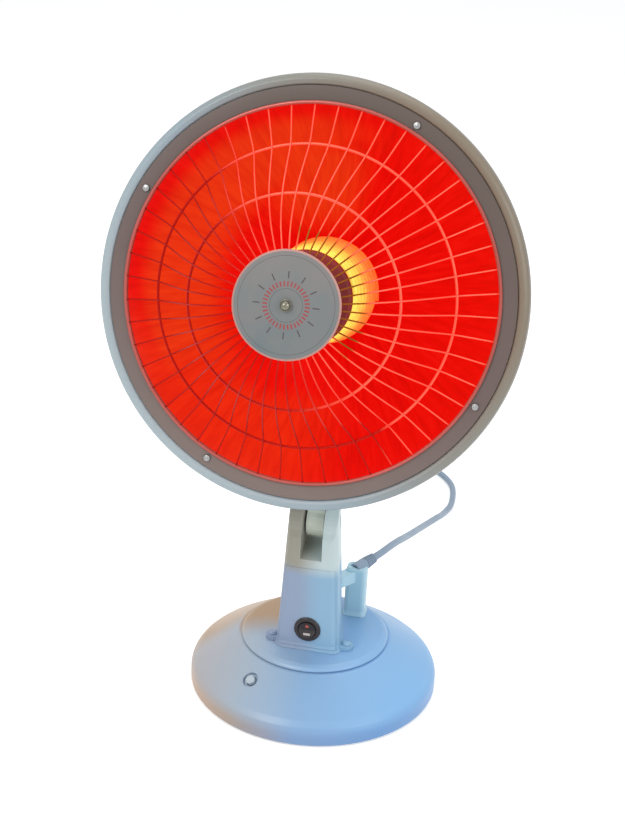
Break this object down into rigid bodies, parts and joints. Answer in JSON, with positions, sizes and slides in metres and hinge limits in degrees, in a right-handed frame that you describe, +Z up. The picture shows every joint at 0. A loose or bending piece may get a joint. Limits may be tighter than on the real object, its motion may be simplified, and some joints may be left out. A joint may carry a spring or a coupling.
{
  "type": "parabolic heater",
  "caption": "Swinging radiant heater: dish reflector with a glowing ceramic element behind a domed wire guard, tilting on a clevis neck over a weighted round base, with a power cord and plug.",
  "frame": {"origin": "on the floor, under the middle of the heater's box measured without its free cord", "axes": "+Z up, -Y the way the heater faces at rest, +X to the right as seen from in front"},
  "size_m": [0.356, 0.7121, 0.5986],
  "materials": {
    "white_plastic": "smooth gloss",
    "pale_paint": "smooth gloss paint",
    "grey_metal": "satin metallic paint",
    "lit_reflector": "polished, lit red by the element",
    "chrome_wire": "bright plating",
    "steel": "plain zinc plated",
    "ceramic": "matt ceramic, lit red",
    "glowing_wire": "glowing orange yellow",
    "black_plastic": "smooth",
    "grey_plastic": "matt",
    "rubber": "matt",
    "cast_iron": "rough",
    "brass": "plain",
    "cord_plastic": "smooth"
  },
  "bodies": {
    "base": {"base_housing": "white_plastic", "base_plate": "steel", "counterweight": "cast_iron", "swing_motor": "steel", "swing_switch": "black_plastic", "tip_switch": "black_plastic", "foot_1": "rubber", "foot_2": "rubber", "foot_3": "rubber", "foot_4": "rubber", "base_screw_1": "steel", "base_screw_2": "steel", "base_screw_3": "steel"},
    "swing": {"turntable": "white_plastic", "pivot_tube": "steel", "swing_lever": "steel", "pivot_washer": "steel", "pivot_nut": "steel", "neck_front": "white_plastic", "neck_rear": "white_plastic", "neck_panel": "white_plastic", "switch_body": "black_plastic", "cord_gland": "cord_plastic", "tilt_bolt": "steel", "tilt_nut": "steel", "neck_screw_1": "steel", "neck_screw_2": "steel", "friction_disc_1": "grey_plastic", "friction_disc_2": "grey_plastic", "power_cord": "cord_plastic", "cord_coil": "cord_plastic", "cord_tail": "cord_plastic", "plug_body": "cord_plastic", "plug_pin_1": "brass", "plug_pin_2": "brass"},
    "head": {"rear_casing": "pale_paint", "guard_flange": "grey_metal", "reflector": "lit_reflector", "wire_guard": "chrome_wire", "hub_plate": "grey_metal", "hub_clamp": "steel", "hub_nut": "chrome_wire", "element_core": "ceramic", "heating_coil": "glowing_wire", "element_cap": "brass", "element_socket": "ceramic", "thermal_cutout": "steel", "terminal_block": "white_plastic", "rear_cap": "pale_paint", "tilt_arm": "white_plastic", "rim_screw_1": "steel", "rim_screw_2": "steel", "rim_screw_3": "steel", "rim_screw_4": "steel", "arm_screw_1": "steel", "arm_screw_2": "steel"},
    "switch_rocker": {"rocker": "black_plastic"},
    "swing_push_button": {"swing_button": "white_plastic"},
    "tip_over_plunger": {"tip_plunger": "grey_plastic"},
    "drive_crank": {"swing_crank": "black_plastic"}
  },
  "joints": [
    {"name": "swing", "type": "hinge", "parent": "base", "child": "swing", "pos_m": [0, 0.0408, 0.05], "axis": [0, 0, 1], "range_deg": [-30, 30]},
    {"name": "head_tilt", "type": "hinge", "parent": "swing", "child": "head", "pos_m": [0, 0.0278, 0.18], "axis": [1, 0, 0], "range_deg": [-10, 15]},
    {"name": "heat_switch", "type": "hinge", "parent": "swing", "child": "switch_rocker", "pos_m": [0, 0.0018, 0.077], "axis": [1, 0, 0], "range_deg": [-9, 9]},
    {"name": "swing_button_press", "type": "slide", "parent": "base", "child": "swing_push_button", "axis": [-0.2665, -0.475, 0.8387], "range_m": [-0.0025, 0], "stiffness_N_per_m": 400, "springref_m": 0.001},
    {"name": "tip_plunger_travel", "type": "slide", "parent": "base", "child": "tip_over_plunger", "axis": [0, 0, 1], "range_m": [-0.003, 0.001], "stiffness_N_per_m": 100, "springref_m": -0.006},
    {"name": "crank_turn", "type": "hinge", "parent": "base", "child": "drive_crank", "pos_m": [0, 0.0758, 0.026], "axis": [0, 0, 1], "continuous": true}
  ]
}
